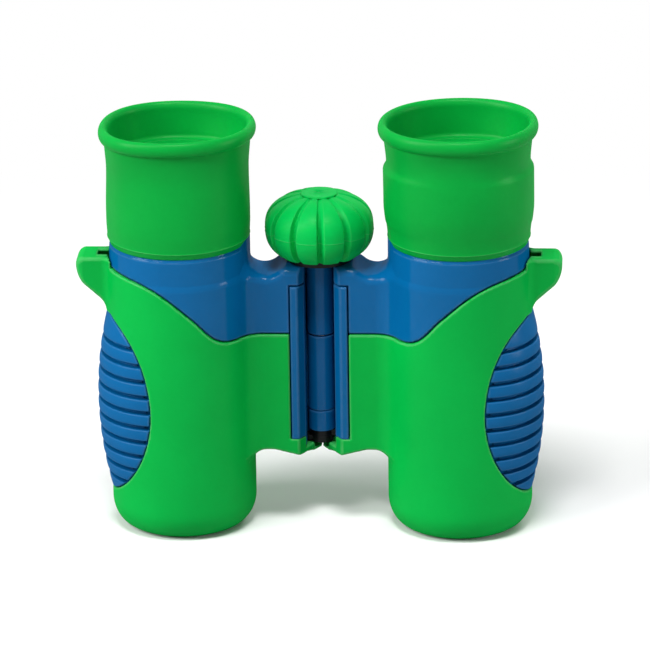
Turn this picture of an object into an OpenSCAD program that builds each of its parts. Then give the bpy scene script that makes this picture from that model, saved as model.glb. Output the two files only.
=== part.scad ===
// Toy binoculars: two roof prism barrels on a centre hinge, focused by a wheel.
// They stand on the objective ends: z = 0 is the standing face, +Z runs to the
// eyecups, -Y is the front, and x = 0 lies midway between the barrels.
// Every size is in millimetres. One half is drawn on the +X side and mirrored.

/* [Barrels] */
// Distance between the optical axes with the hinge fully open
axis_spacing = 70; // [67:0.5:76]
// Thickness of the armour over the housing
armour_t = 1.6; // [1.3:0.1:1.9]
// Height of the armour's edge above the bare housing beside it
armour_step = 0.4; // [0.2:0.1:0.7]
// Radius of the rounded lower edge of the armour
edge_r = 4.6; // [3:0.1:5]
// Rim of the well round the clear opening of an objective
well_margin = 1.8; // [1.2:0.1:2.4]
// Height of the lip that closes the armour under the housing
lip_h = 3; // [2:0.1:4]
// Height of the shoulder on which an eyecup sits
shoulder_z = 74.8; // [73:0.1:80]
// Radius of the rounded shoulder of the housing
shoulder_round = 1; // [0.6:0.1:1.4]
// How much slimmer the housing is at its shoulder than at its foot
shoulder_in = 0.4; // [0:0.1:0.6]
// Wall of the housing round the bore of the objective cell
housing_wall = 2.3; // [1.8:0.1:2.6]
// Thickness of the plate that closes the housing under the eyepiece
top_plate = 5; // [3:0.1:7]

/* [Wave line] */
// Height of the armour's upper edge beside the hinge
wave_low = 52; // [46:0.5:56]
// Rise of the upper edge from the hinge to the outer side
wave_rise = 17.5; // [12:0.5:18]
// Steepness of the rise, per millimetre
wave_rate = 0.221; // [0.15:0.005:0.3]
// Place of the steepest point, outward from the optical axis
wave_mid = -0.6; // [-4:0.1:4]

/* [Bridge and hinge] */
// Distance of the hinge axis behind the optical axes
hinge_y = 3; // [2:0.1:4]
// Front face of the bridge, ahead of the hinge axis
bridge_front = 8.7; // [8:0.1:10]
// Back face of the bridge, behind the hinge axis
bridge_back = 6.5; // [6:0.1:8]
// Underside of the bridge at the hinge
bridge_bottom = 18.8; // [18.6:0.1:19]
// Top of the bridge at the hinge
bridge_top = 69; // [67:0.1:69]
// Radius of the hollow corners between bridge and barrel, seen from above
bridge_fillet = 6; // [4:0.5:8]
// Radius of the saddle beside the barrel on top of the bridge
saddle_r = 4; // [3:0.1:4.5]
// Depth of the saddle below the top of the bridge
saddle_dip = 2.2; // [1:0.1:3]
// Radius of the arch beside the barrel under the bridge
arch_r = 4; // [3:0.1:5]
// Rise of the arch above the underside at the hinge
arch_rise = 1.6; // [0.5:0.1:2]
// Radius of the top edges of the bridge
bridge_round = 2.4; // [1:0.1:3]
// Width of the arch's flat between its curve and the frame
arch_flat = 2.4; // [1.6:0.1:3]
// Angle through which the right half folds
fold_angle = 60; // [40:1:60]
// Width of the frame's strip on the front face, out to this distance from x = 0
strip_x = 7.15; // [6.8:0.05:8]
// Distance of the top of the hinge frames below the top of the bridge
frame_drop = 7; // [6:0.5:9]
// Height of the armour's corner under the strip
ledge_h = 4.5; // [4.5:0.1:7]
// Depth of the armour's corner under the strip
ledge_depth = 3; // [2:0.1:4]
// Outside radius of the hinge knuckles
knuckle_r = 3.4; // [3.2:0.1:4]
// Radius of the hollow hinge axle
axle_r = 2.4; // [2.2:0.1:2.6]
// Top of the lower knuckle
low_joint = 28.8; // [27:0.1:32]
// Top of the middle knuckle
high_joint = 48.8; // [44:0.1:50]
// Gap between the lower and the middle knuckle
low_joint_gap = 0.15; // [0.1:0.05:0.5]
// Gap between the middle and the upper knuckle
high_joint_gap = 0.4; // [0.1:0.05:0.5]

/* [Strap lugs] */
// Reach of a lug beyond the armour
lug_reach = 7.8; // [7:0.1:10]
// Height of a lug's top above the armour's edge beside it
lug_rise = 1.6; // [0:0.1:2.5]
// Depth of a lug from front to back
lug_depth = 9.8; // [8:0.1:12]
// Height of a lug's outer end
lug_end_h = 6.4; // [5:0.1:8]
// Radius of a lug's outer corners
lug_round = 2.4; // [1:0.1:2.9]
// Slope of a lug's underside against the vertical
lug_slope = 48; // [40:1:60]
// Radius of the hollow where a lug's underside meets the armour
lug_hollow = 5; // [3:0.5:8]
// Radius of the hollows where a lug's sides meet the armour
lug_fillet = 2.5; // [1:0.5:4]
// Width of the strap slot, outward from the housing
slot_w = 2.6; // [2:0.1:3.4]
// Length of the strap slot from front to back
slot_l = 3.4; // [2.5:0.1:5]

/* [Grip pads] */
// How far a pad stands out beyond the armour
pad_proud = 3.1; // [2:0.1:4]
// Radius of a pad at its widest, seen from above
pad_r = 16.8; // [16:0.1:17.4]
// Height of a pad's widest point
pad_mid = 33.3; // [31:0.1:36]
// Half of the height over which the pad's bulge is measured
pad_half = 23.5; // [20:0.5:26]
// Bulge of a pad over that half height
pad_bulge = 3; // [2.2:0.1:4]
// Number of grooves in a pad
groove_count = 10; // [6:1:11]
// Height of the lowest groove
groove_first = 13.9; // [13:0.1:16]
// Spacing of the grooves
groove_pitch = 4.02; // [3.4:0.01:4.2]
// Width of a groove
groove_w = 0.9; // [0.6:0.1:1.4]
// Depth of a groove
groove_d = 0.8; // [0.4:0.1:1]

/* [Eyecups and eyepieces] */
// Width of the flat on the shoulder that carries an eyecup's foot
cup_seat = 0.7; // [0.4:0.1:1.2]
// Thickness of an eyecup's rubber round the eyepiece
sleeve_t = 2.1; // [1.8:0.1:2.6]
// Height of an eyecup above its shoulder
cup_h = 30.4; // [26:0.1:34]
// How far an eyecup's foot tapers in
foot_in = 0.6; // [0.2:0.1:1]
// Height of that taper
foot_h = 2.6; // [1:0.1:4]
// How far an eyecup flares out under its rim
cup_flare = 0.5; // [0:0.1:1.2]
// Radius of the bead round an eyecup's rim
bead_r = 1.2; // [0.8:0.1:1.5]
// Thickness of an eyecup's rubber above its floor
cup_wall = 1.5; // [1.2:0.1:2]
// Depth of the cup above its floor
cup_depth = 8.5; // [7:0.1:12]
// Swell of the left eyecup round its eyepiece
swell_left = 0.1; // [0:0.1:0.5]
// Swell of the right eyecup round its eyepiece
swell_right = 1; // [0.2:0.1:1.2]
// Height over which the swell grows
swell_rise = 9; // [5:0.5:12]
// Height at which the swell ends
swell_end = 18.4; // [15:0.1:19]
// Height over which the swell and the flare change
swell_step = 2.4; // [1:0.1:4]
// Margin of the hole in an eyecup's floor round the eye lens
cup_hole_margin = 1.5; // [0.8:0.1:3]
// Radius of the neck that holds an eyepiece in the housing
neck_r = 12; // [11:0.1:12.6]
// Length of that neck below the housing's top plate
neck_l = 7.6; // [6:0.1:9]
// Radius of an eye lens
eye_lens_r = 8.9; // [8.4:0.1:9.2]
// Thickness of an eye lens at its rim
eye_lens_t = 2.2; // [1.6:0.1:3]
// Depth of an eye lens below the top of its tube
eye_lens_depth = 5.6; // [5:0.1:7]
// Radius of a field lens
field_lens_r = 8; // [7:0.1:8.3]
// Thickness of a field lens at its rim
field_lens_t = 2; // [1.6:0.1:3]
// Width and height of the lip that carries a field lens
field_lip = 0.8; // [0.6:0.1:1.2]
// Height of the rings that hold the lenses
ring_h = 1.6; // [1:0.1:2]
// Width of the ring that holds an eye lens
ring_w = 1.3; // [0.8:0.1:1.8]

/* [Objectives] */
// Clear diameter of an objective
aperture_d = 21; // [20:0.5:22]
// Width of the seat round an objective lens
lens_lip = 0.55; // [0.4:0.05:0.8]
// Wall of an objective cell round its lens
cell_front_wall = 3.1; // [2:0.1:3.5]
// Height of an objective cell's lower end
cell_z = 5.6; // [5.2:0.1:6]
// Rim of an objective cell above the focus arms
cell_rim = 1.3; // [1:0.1:4]
// Wall of an objective cell's rear tube
cell_wall = 1.5; // [1:0.1:2]
// Height of the objective lens's seat above the cell's lower end
seat_h = 4; // [3:0.1:5]
// Thickness of an objective lens at its rim
lens_rim = 1.7; // [1.2:0.1:2.4]
// Bulge of the faces of the lenses
lens_bulge = 0.7; // [0.4:0.05:0.8]

/* [Prisms] */
// Clear width of the prisms
prism_a = 11; // [10:0.5:12]
// Height of a prism cage's lower end
cage_z = 38; // [32:0.5:42]
// Height of a prism cage
cage_h = 18; // [17.5:0.5:24]
// Floor of a prism cage under its prisms
cage_floor = 2; // [1.5:0.1:3]
// Overhang of the first prism beyond its clear width
prism_over = 4; // [3.5:0.1:4.5]
// Height of the roof prism above the middle of the clear width
roof_rise = 8.6; // [8:0.1:9]
// Cut-off tip of the roof prism
roof_tip = 1.6; // [1.2:0.1:2]

/* [Focus] */
// Travel of the objective cells, down from the far focus stop
focus_travel = 1.2; // [0.6:0.1:1.3]
// Radius of the hub of the focus arms
hub_r = 2.85; // [2.7:0.05:3]
// Height of that hub's lower end above the underside of the bridge
hub_rise = 1.4; // [1.3:0.05:1.6]
// Thickness of a focus arm
arm_t = 1.5; // [1.2:0.05:1.5]
// Width of a focus arm
arm_w = 3; // [2.4:0.1:4]
// Thickness of the cross bar at an arm's end
bar_t = 1.4; // [1:0.1:2]
// How far the cross bar stands out on each side of its arm
bar_over = 1.5; // [1:0.1:2]
// Radius of the focus screw
screw_r = 1.5; // [1.2:0.05:1.6]
// Radius of the focus knob
knob_r = 13.6; // [12:0.1:14]
// Height of the middle of the focus knob above the top of the bridge
knob_rise = 8.6; // [8:0.1:10]
// Half of the height of the focus knob's rounded form
knob_half = 9.4; // [9:0.1:10]
// Number of flutes round the focus knob
flute_count = 12; // [8:1:16]
// Width of a flute
flute_w = 1.5; // [1:0.1:2.2]
// Depth of a flute
flute_d = 0.9; // [0.4:0.1:1.3]
// Depth of a flute at its edges
flute_edge = 0.3; // [0.1:0.05:0.4]
// Depth at which a lobe rounds off towards its flutes
flute_soft = 0.1; // [0:0.05:0.1]
// Radius of the flat on top of the knob
knob_flat_r = 4.5; // [3:0.1:6]
// Radius of the black disc under the knob
disc_r = 8.2; // [7.6:0.1:9]
// Thickness of that disc
disc_t = 1.5; // [1:0.1:1.6]
// Radius of the post that carries the knob
post_r = 5; // [4:0.1:6]
// Height of the post above the middle of the knob
post_rise = 4; // [2:0.1:5]

/* [Clearances] */
// Gap between pieces that are fixed to each other
seat_gap = 0.1; // [0.05:0.01:0.2]
// Radial clearance of a running fit
run_gap = 0.05; // [0.02:0.01:0.1]
// Gap round a knuckle in the other half
turn_gap = 0.3; // [0.2:0.05:0.5]
// Visible gap round a strip and along the armour's upper edge
line_gap = 0.3; // [0.2:0.05:0.5]
// Half of the gap between the two halves behind the hinge axis
part_gap = 0.15; // [0.1:0.05:0.3]
// Gap round a focus arm in its channel
arm_gap = 0.25; // [0.15:0.05:0.4]

/* [Hidden] */
$fn = 96;
far = 80;
over = 1;
eps = 0.01;
barrel_x = axis_spacing / 2;
lens_r = aperture_d / 2 + lens_lip;
cell_r = lens_r + cell_front_wall;
cell_bore_r = cell_r + run_gap;
core_r = cell_bore_r + housing_wall + seat_gap;
armour_r = core_r + armour_t;
body_r = armour_r - armour_step;
well_r = aperture_d / 2 + well_margin;
front_y = hinge_y - bridge_front;
back_y = hinge_y + bridge_back;
v_angle = fold_angle / 2 + 0.5;
frame_top = bridge_top - frame_drop;
ledge_top = bridge_bottom + ledge_h;
plate_z = shoulder_z - seat_gap - top_plate;
eyepiece_r = body_r - shoulder_in - shoulder_round - cup_seat;
cup_r = eyepiece_r + run_gap + sleeve_t;
cup_top = shoulder_z + cup_h;
cup_floor = cup_top - cup_depth;
cup_hole_r = eye_lens_r + cup_hole_margin;
eyepiece_top = cup_floor - cup_wall - seat_gap;
neck_bottom = plate_z - neck_l;
disc_z = bridge_top - armour_step + part_gap;
knob_z = bridge_top + knob_rise;
hub_z = bridge_bottom + hub_rise;
hub_split = hub_z + arm_t + run_gap;
hub_top = hub_split + arm_t + run_gap;
spigot_r = (hub_r + screw_r) / 2 - run_gap * 4;
cell_l = hub_top + cell_rim - cell_z;
low_knuckle = hub_top + seat_gap;
pad_shift = armour_r + pad_proud - pad_r;
pad_arc = (pad_half * pad_half + pad_bulge * pad_bulge) / (2 * pad_bulge);
pad_reach = pad_half * 1.1;
lug_top = wave_low + wave_rise + lug_rise;
prism_z = cage_z + cage_floor;
roof_top = prism_a / 2 + roof_rise;
roof_side = roof_top * 1.357;
roof_apex = prism_a / 2 + seat_gap * 4 - roof_top;
right_rows = [[low_knuckle, low_joint], [high_joint + high_joint_gap, bridge_top - armour_step]];
left_rows = [[low_joint + low_joint_gap, high_joint]];

BLUE = [0.02, 0.30, 0.58];
GREEN = [0.02, 0.66, 0.22];
DARK = [0.07, 0.07, 0.075];
GLASS = [0.75, 0.85, 0.88, 0.5];
STEEL = [0.62, 0.63, 0.65];

// Points along an arc round c, from angle a to angle b.
function arc(c, r, a, b, n = 8) =
    [for (i = [0:n]) let (t = a + (b - a) * i / n) c + r * [cos(t), sin(t)]];

// Smooth step from 0 to 1 while t goes from 0 to 1.
function ease(t) = let (u = min(max(t, 0), 1)) u * u * (3 - 2 * u);

// Height of the armour's upper edge at a distance outward from the optical axis.
function wave(d) = wave_low + wave_rise / (1 + exp(-wave_rate * (d - wave_mid)));

// Radius of a grip pad at a height.
function pad_at(z) = pad_r - pad_arc + sqrt(pad_arc * pad_arc - pow(z - pad_mid, 2));

// Outside radius of an eyecup at a height above its shoulder.
function cup_at(h, swell) =
    cup_r - foot_in * (1 - ease(h / foot_h))
    + swell * ease(h / swell_rise) * (1 - ease((h - swell_end) / swell_step))
    + cup_flare * ease((h - swell_end) / (swell_step * 3));

module side(s) {
    mirror([s < 0 ? 1 : 0, 0, 0])
        children();
}

module on_barrel(z = 0) {
    translate([barrel_x, 0, z])
        children();
}

module on_hinge(z = 0) {
    translate([0, hinge_y, z])
        children();
}

module tube(outer, inner, h) {
    difference() {
        cylinder(r = outer, h = h);
        translate([0, 0, -over])
            cylinder(r = inner, h = h + over * 2);
    }
}

// Quarter of what stands out from a barrel, seen from above: half its width,
// then the hollow of radius r against the armour, both drawn in by an inset.
function web_corner(half, r, inset) =
    let (c = [sqrt(pow(armour_r + r, 2) - pow(half + r, 2)), half + r])
    arc(c, r + inset, 180 + atan2(c[1], c[0]), 270);

module web(half, r, inset, reach) {
    polygon(concat([[0, 0]], web_corner(half, r, inset), [[reach, half - inset], [reach, 0]]));
}

// Bridge seen from above, with its hollow corners against the barrel.
module bridge_plan(inset) {
    translate([barrel_x, 0])
        mirror([1, 0]) {
            web(back_y, bridge_fillet, inset, barrel_x);
            mirror([0, 1])
                web(-front_y, bridge_fillet, inset, barrel_x);
        }
}

// Height of the bridge against the distance from the optical axis.
module bridge_profile(inset) {
    top = bridge_top - inset;
    saddle = [armour_r + saddle_r, bridge_top - saddle_dip + saddle_r];
    arch = [armour_r + arch_r, bridge_bottom + arch_rise - arch_r];
    polygon(concat(
        [[0, saddle[1]]],
        arc(saddle, saddle_r + inset, 180, 270 + acos((saddle[1] - top) / (saddle_r + inset)), 12),
        [[barrel_x + over, top], [barrel_x + over, bridge_bottom + inset],
         [barrel_x - strip_x - arch_flat, bridge_bottom + arch_rise + inset]],
        arc(arch, arch_r + inset, 90, 180),
        [[0, arch[1]]]
    ));
}

module bridge(inset) {
    intersection() {
        linear_extrude(shoulder_z)
            bridge_plan(inset);
        on_barrel()
            rotate_extrude()
                bridge_profile(inset);
    }
}

// Takes away what belongs to the other half: the wedge in front of the hinge
// axis and everything past the joint behind it.
module other_half() {
    run = far * 2;
    translate([0, 0, -over])
        linear_extrude(run)
            polygon([
                [part_gap, hinge_y],
                [part_gap + run * sin(v_angle), hinge_y - run * cos(v_angle)],
                [-far, -run], [-far, far], [part_gap, far]
            ]);
}

// Everything below the armour's upper edge, seen from the front.
module below_wave(lower = 0) {
    step = armour_r / 8;
    translate([0, far, 0])
        rotate([90, 0, 0])
            linear_extrude(far * 2)
                polygon(concat(
                    [[-over, -over], [-over, wave_low - lower]],
                    [for (d = [-armour_r:step:armour_r + eps]) [barrel_x + d, wave(d) - lower]],
                    [[barrel_x + far, wave(armour_r) - lower], [barrel_x + far, -over]]
                ));
}

// Takes the sharp top edges of the bridge away, front and back.
module top_edges(inset) {
    z = bridge_top - inset - bridge_round;
    span = barrel_x - armour_r;
    size = bridge_round + over;
    for (s = [-1, 1]) {
        y = s < 0 ? front_y + inset + bridge_round : back_y - inset - bridge_round;
        difference() {
            translate([-over, s < 0 ? y - size : y, z])
                cube([span, size, size]);
            translate([-over * 2, y, z])
                rotate([0, 90, 0])
                    cylinder(r = bridge_round, h = span + over * 2);
        }
    }
}

// Space of a hinge frame in its half, grown by a gap.
module frame_space(gap) {
    front = front_y - over;
    back = back_y - armour_t - seat_gap + gap;
    inner = front_y + ledge_depth + seat_gap - gap;
    low = bridge_bottom + armour_t + seat_gap - gap;
    wide = strip_x + gap + over;
    translate([-over, front, ledge_top])
        cube([wide, back - front, frame_top + gap - ledge_top]);
    translate([-over, inner, low])
        cube([wide, back - inner, ledge_top - low + eps]);
}

// Way of a focus arm from the hub to the objective cell.
module arm_way() {
    z = hub_z - focus_travel - part_gap;
    translate([-over, hinge_y - arm_w / 2 - arm_gap, z])
        cube([barrel_x - cell_bore_r + arm_w, arm_w + arm_gap * 2, low_knuckle - z]);
    on_hinge(z)
        cylinder(r = hub_r + turn_gap, h = low_knuckle - z);
}

// The bare upper part of the housing, from under the armour's edge upward.
module housing_body() {
    top = shoulder_z - seat_gap;
    foot = wave_low - line_gap * 2;
    on_barrel()
        rotate_extrude()
            polygon(concat(
                [[0, foot], [body_r, foot]],
                arc([body_r - shoulder_in - shoulder_round, top - shoulder_round],
                    shoulder_round, 0, 90),
                [[0, top]]
            ));
}

module housing() {
    color(BLUE)
        difference() {
            union() {
                on_barrel(lip_h + seat_gap)
                    cylinder(r = core_r - seat_gap, h = plate_z - lip_h);
                bridge(armour_t + seat_gap);
                difference() {
                    union() {
                        housing_body();
                        bridge(armour_step);
                    }
                    below_wave();
                    top_edges(armour_step);
                }
            }
            other_half();
            frame_space(line_gap);
            corner_block(seat_gap);
            arm_way();
            on_hinge(frame_top)
                cylinder(r = knuckle_r + turn_gap, h = far);
            on_barrel(-over)
                cylinder(r = cell_bore_r, h = plate_z + over);
            on_barrel(plate_z - over)
                cylinder(r = neck_r + seat_gap, h = top_plate + over * 2);
        }
}

// Outline of a strap lug, seen from the front: its underside slopes down into
// a hollow against the armour.
module lug_side() {
    low = lug_top - lug_end_h;
    end = lug_reach - lug_round;
    start = [end + lug_round * cos(lug_slope), low + lug_round * (1 - sin(lug_slope))];
    hollow_x = lug_hollow * (1 - cos(lug_slope));
    hollow_z = start[1] - (start[0] - hollow_x) / tan(lug_slope);
    foot = hollow_z - lug_hollow * sin(lug_slope);
    translate([barrel_x + armour_r, 0])
        polygon(concat(
            [[-armour_r, lug_top]],
            arc([end, lug_top - lug_round], lug_round, 90, 0),
            arc([end, low + lug_round], lug_round, 0, -lug_slope),
            arc([lug_hollow, foot], lug_hollow, 180 - lug_slope, 180),
            [[-armour_r, foot]]
        ));
}

// Quarter of a strap lug, seen from above.
module lug_quarter() {
    half = lug_depth / 2;
    end = armour_r + lug_reach;
    polygon(concat(
        [[0, 0]],
        web_corner(half, lug_fillet, 0),
        arc([end - lug_round, half - lug_round], lug_round, 90, 0),
        [[end, 0]]
    ));
}

module lug() {
    intersection() {
        translate([0, far, 0])
            rotate([90, 0, 0])
                linear_extrude(far * 2)
                    lug_side();
        on_barrel()
            linear_extrude(far) {
                lug_quarter();
                mirror([0, 1])
                    lug_quarter();
            }
    }
}

// Slot through the lug; above the armour's edge it reaches in to the housing.
module strap_slot() {
    outer = body_r + slot_w;
    inner = body_r - seat_gap;
    translate([barrel_x + armour_r, -slot_l / 2, wave_low])
        cube([outer - armour_r, slot_l, far]);
    translate([barrel_x + inner, -slot_l / 2, wave(armour_r) - line_gap])
        cube([outer - inner, slot_l, far]);
}

// Form of a grip pad, grown by a gap.
module pad_space(gap = 0) {
    steps = 16;
    low = pad_mid - pad_reach;
    high = pad_mid + pad_reach;
    on_barrel()
        translate([pad_shift, 0, 0])
            rotate_extrude()
                polygon(concat(
                    [[0, low]],
                    [for (i = [0:steps])
                        let (z = low + (high - low) * i / steps) [pad_at(z) + gap, z]],
                    [[0, high]]
                ));
}

module armour() {
    color(GREEN)
        difference() {
            union() {
                intersection() {
                    union() {
                        on_barrel()
                            rotate_extrude()
                                polygon(concat(
                                    [[0, 0]],
                                    arc([armour_r - edge_r, edge_r], edge_r, -90, 0),
                                    [[armour_r, lug_top], [0, lug_top]]
                                ));
                        bridge(0);
                    }
                    below_wave(line_gap);
                }
                lug();
            }
            difference() {
                union() {
                    on_barrel(lip_h)
                        cylinder(r = core_r, h = far);
                    bridge(armour_t);
                }
                corner_block();
            }
            difference() {
                on_barrel(wave_low)
                    cylinder(r = body_r + run_gap, h = far);
                below_wave(line_gap);
            }
            other_half();
            difference() {
                frame_space(line_gap);
                corner_block();
            }
            arm_way();
            pad_space(seat_gap + run_gap);
            strap_slot();
            on_barrel(-over)
                cylinder(r = well_r, h = lip_h + over * 2);
        }
}

// The armour's solid corner under the strip, grown by a gap.
module corner_block(gap = 0) {
    translate([-over, front_y - over, bridge_bottom - over])
        cube([strip_x + line_gap + over + gap, ledge_depth + over + gap,
              ledge_top - bridge_bottom + over - seat_gap + gap]);
}

module grip_pad() {
    color(BLUE)
        difference() {
            pad_space();
            on_barrel(-over)
                cylinder(r = core_r + run_gap, h = far);
            on_barrel()
                translate([pad_shift, 0, 0])
                    for (i = [0:groove_count - 1]) {
                        z = groove_first + groove_pitch * i;
                        translate([0, 0, z - groove_w / 2])
                            tube(far / 2, pad_at(z) - groove_d, groove_w);
                    }
        }
}

// Frame that carries the knuckles of one half; rows holds their lower and
// upper ends, and others those of the other half.
module hinge_frame(rows, others, bore) {
    color(BLUE)
        difference() {
            union() {
                difference() {
                    intersection() {
                        frame_space(0);
                        translate([0, front_y, 0])
                            cube([far, far, far]);
                    }
                    other_half();
                    for (row = others)
                        on_hinge(row[0] - turn_gap)
                            cylinder(r = knuckle_r + turn_gap, h = row[1] - row[0] + turn_gap * 2);
                    arm_way();
                }
                for (row = rows)
                    on_hinge(row[0])
                        cylinder(r = knuckle_r, h = row[1] - row[0]);
            }
            on_hinge(-over)
                cylinder(r = bore, h = far * 2);
        }
}

module eyecup(swell) {
    steps = 20;
    neck_h = cup_h - bead_r * 2;
    rim = cup_at(neck_h, swell);
    inner = rim - cup_wall;
    hole = eyepiece_r + run_gap;
    color(GREEN)
        on_barrel(shoulder_z)
            rotate_extrude() {
                polygon(concat(
                    [[hole, 0]],
                    [for (i = [0:steps]) let (h = neck_h * i / steps) [cup_at(h, swell), h]],
                    [[rim, cup_h - bead_r], [inner, cup_h - bead_r],
                     [inner, cup_h - cup_depth], [cup_hole_r, cup_h - cup_depth],
                     [cup_hole_r, cup_h - cup_depth - cup_wall],
                     [hole, cup_h - cup_depth - cup_wall]]
                ));
                translate([inner + bead_r, cup_h - bead_r])
                    circle(r = bead_r);
                translate([rim, cup_h - bead_r])
                    circle(r = bead_r);
                translate([inner + bead_r, cup_h - bead_r])
                    square([rim - inner - bead_r, bead_r]);
            }
}

module eyepiece_tube() {
    color(DARK)
        on_barrel()
            difference() {
                union() {
                    translate([0, 0, neck_bottom])
                        cylinder(r = neck_r, h = shoulder_z - neck_bottom);
                    translate([0, 0, shoulder_z])
                        cylinder(r = eyepiece_r, h = eyepiece_top - shoulder_z);
                }
                translate([0, 0, neck_bottom - over])
                    cylinder(r = field_lens_r - field_lip, h = far);
                translate([0, 0, neck_bottom + field_lip])
                    cylinder(r = field_lens_r + run_gap, h = far);
                translate([0, 0, eyepiece_top - eye_lens_depth])
                    cylinder(r = eye_lens_r + run_gap, h = far);
            }
}

// A lens of rim thickness t with two equal bulged faces inside a flat lip.
module lens(r, t, lip) {
    face = r - lip;
    curve = (face * face + lens_bulge * lens_bulge) / (2 * lens_bulge);
    spread = asin(face / curve);
    color(GLASS)
        rotate_extrude()
            polygon(concat(
                arc([0, curve - lens_bulge], curve, -90, -90 + spread),
                [[r, 0], [r, t]],
                arc([0, t + lens_bulge - curve], curve, 90 - spread, 90)
            ));
}

module eye_lens() {
    on_barrel(eyepiece_top - eye_lens_depth + run_gap)
        lens(eye_lens_r, eye_lens_t, ring_w);
}

module eye_lens_ring() {
    color(DARK)
        on_barrel(eyepiece_top - eye_lens_depth + eye_lens_t + run_gap * 2)
            tube(eye_lens_r, eye_lens_r - ring_w, ring_h);
}

module field_lens() {
    on_barrel(neck_bottom + field_lip + run_gap)
        lens(field_lens_r, field_lens_t, field_lip + run_gap);
}

// Outlines of the two prisms of a Pechan pair, seen from the front; the light
// comes in at the middle of the lower face.
module pechan_outline() {
    h = prism_a / 2;
    cut = h + prism_over;
    polygon([[-h, 0], [h, 0], [-cut, h + cut], [-cut, (cut - h) * tan(67.5)]]);
}

module roof_outline() {
    polygon([
        [roof_apex + roof_tip, roof_top], [roof_apex + roof_side, roof_top],
        [roof_apex + roof_side * cos(45), roof_top - roof_side * sin(45)],
        [roof_apex + roof_tip / 2, roof_top - roof_tip / 2]
    ]);
}

module prism_slab() {
    translate([0, prism_a / 2, 0])
        rotate([90, 0, 0])
            linear_extrude(prism_a)
                children();
}

module pechan_prism() {
    color(GLASS)
        on_barrel(prism_z)
            prism_slab()
                pechan_outline();
}

module roof_prism() {
    color(GLASS)
        on_barrel(prism_z)
            intersection() {
                prism_slab()
                    roof_outline();
                translate([roof_apex + roof_side, 0, roof_top])
                    rotate([0, 22.5, 0])
                        rotate([0, 0, 45])
                            translate([-far, 0, -far])
                                cube([far, far, far * 2]);
            }
}

module prism_cage() {
    room = prism_a / 2 + seat_gap;
    left = -prism_a / 2 - prism_over - seat_gap;
    right = roof_apex + roof_side + seat_gap;
    color(DARK)
        on_barrel(cage_z)
            difference() {
                cylinder(r = cell_bore_r - seat_gap, h = cage_h);
                translate([0, 0, -over])
                    cylinder(r = prism_a / 2, h = far);
                translate([left, -room, cage_floor - seat_gap])
                    cube([right - left, room * 2, far]);
            }
}

module objective_cell(arm_z) {
    ring_top = seat_h + lens_rim + ring_h + seat_gap;
    color(DARK)
        on_barrel(cell_z)
            difference() {
                cylinder(r = cell_r, h = cell_l);
                translate([0, 0, -over])
                    cylinder(r = aperture_d / 2, h = far);
                translate([0, 0, seat_h])
                    cylinder(r = lens_r + run_gap, h = far);
                translate([0, 0, ring_top])
                    cylinder(r = cell_r - cell_wall, h = far);
                translate([-cell_r - over, hinge_y - arm_w / 2 - run_gap,
                           arm_z - cell_z - run_gap])
                    cube([over + arm_w, arm_w + run_gap * 2, arm_t + run_gap * 2]);
            }
}

module objective_lens() {
    on_barrel(cell_z + seat_h + run_gap)
        lens(lens_r, lens_rim, lens_lip + run_gap);
}

module objective_ring() {
    color(DARK)
        on_barrel(cell_z + seat_h + lens_rim + run_gap * 2)
            tube(lens_r, aperture_d / 2, ring_h);
}

// Arm from the hub to the cell, with a cross bar inside the cell's wall.
module arm_plate(z) {
    inner = cell_r - cell_wall - run_gap;
    bar_x = barrel_x - sqrt(inner * inner - pow(hinge_y + arm_w / 2 + bar_over, 2));
    translate([0, hinge_y - arm_w / 2, z]) {
        cube([bar_x + eps, arm_w, arm_t]);
        translate([bar_x, -bar_over, 0])
            cube([bar_t, arm_w + bar_over * 2, arm_t]);
    }
}

module focus_arm_left() {
    color(DARK)
        side(-1)
            difference() {
                union() {
                    on_hinge(hub_z)
                        cylinder(r = hub_r, h = arm_t);
                    on_hinge(hub_z)
                        cylinder(r = spigot_r, h = hub_top - hub_z);
                    arm_plate(hub_z);
                }
                on_hinge(hub_z - over)
                    cylinder(r = screw_r + run_gap, h = far);
            }
}

module focus_arm_right() {
    color(DARK)
        difference() {
            union() {
                on_hinge(hub_split)
                    cylinder(r = hub_r, h = arm_t);
                arm_plate(hub_split);
            }
            on_hinge(hub_split - over)
                cylinder(r = spigot_r + run_gap, h = far);
        }
}

module focus_screw() {
    color(STEEL)
        on_hinge(hub_z + seat_gap)
            cylinder(r = screw_r, h = knob_z - hub_z);
}

module knob_core() {
    color(DARK)
        on_hinge(disc_z)
            difference() {
                union() {
                    cylinder(r = disc_r, h = disc_t);
                    cylinder(r = post_r, h = knob_z + post_rise - disc_z);
                }
                translate([0, 0, -over])
                    cylinder(r = screw_r + eps, h = knob_z - disc_z + over + seat_gap * 2);
            }
}

// One ring of the knob's surface: six points from the middle of a flute over a
// lobe to the next flute.
function knob_ring(r, z, fade) =
    let (pitch = 360 / flute_count,
         half = flute_w / 2 / max(r, flute_w * 2) * 180 / PI,
         lobe = half + (pitch / 2 - half) * 0.4,
         turns = [0, half, lobe, pitch / 2, pitch - lobe, pitch - half],
         depths = [flute_d, flute_edge, flute_soft, 0, flute_soft, flute_edge])
    [for (k = [0:flute_count - 1]) for (j = [0:5])
        let (a = pitch * k - 90 + turns[j], q = r - depths[j] * fade)
        [q * cos(a), q * sin(a), z]];

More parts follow.
